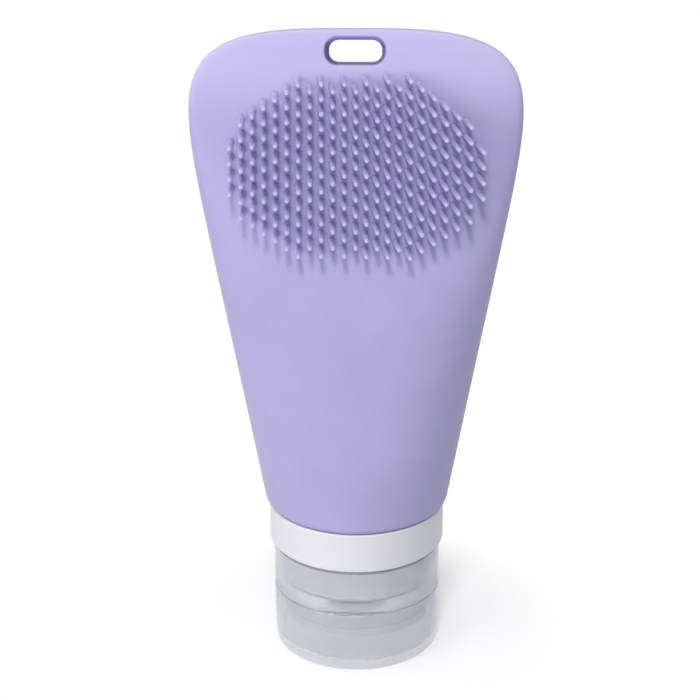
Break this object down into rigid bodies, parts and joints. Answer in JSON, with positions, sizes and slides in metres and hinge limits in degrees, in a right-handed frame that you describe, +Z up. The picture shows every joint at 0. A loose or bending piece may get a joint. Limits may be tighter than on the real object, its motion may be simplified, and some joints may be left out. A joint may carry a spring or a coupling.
{
  "type": "travel bottle",
  "caption": "Soft squeeze travel bottle that stands on its flip-top screw cap, with scrubbing nubs on its front and a hang slot at the top.",
  "frame": {"origin": "centre of the lid's flat outer face, on the surface that the bottle stands on", "axes": "+Z up, from the cap to the hang slot; -Y is the front with the nubs; +Y is the back with the lid's hinge; X across the bottle"},
  "size_m": [0.0746, 0.0443, 0.1516],
  "materials": {
    "lavender_silicone": "matte",
    "clear_cap_plastic": "clear, slightly frosted",
    "milky_white_plastic": "satin, translucent",
    "seal_silicone": "satin"
  },
  "bodies": {
    "bottle": {"bottle_body": "lavender_silicone", "scrubber_bristles": "lavender_silicone", "neck_insert": "milky_white_plastic", "collar": "milky_white_plastic"},
    "liner": {"cap_liner": "seal_silicone"},
    "cap": {"cap_base": "clear_cap_plastic", "slit_valve": "seal_silicone", "valve_retainer": "clear_cap_plastic", "living_hinge": "clear_cap_plastic"},
    "lid": {"flip_lid": "clear_cap_plastic"}
  },
  "joints": [
    {"name": "cap_lift", "type": "slide", "parent": "bottle", "child": "liner", "axis": [0, 0, -1], "range_m": [0, 0.0045]},
    {"name": "cap_turn", "type": "hinge", "parent": "liner", "child": "cap", "pos_m": [0, 0, 0.0262], "axis": [0, 0, -1], "range_deg": [0, 540]},
    {"name": "lid_hinge", "type": "hinge", "parent": "cap", "child": "lid", "pos_m": [0, 0.02065, 0.01515], "axis": [1, 0, 0], "range_deg": [0, 150], "deforming": ["living_hinge"]}
  ],
  "couplings": [
    {"joint": "cap_turn", "follows": "cap_lift", "rad_per_m": 2094.4}
  ]
}
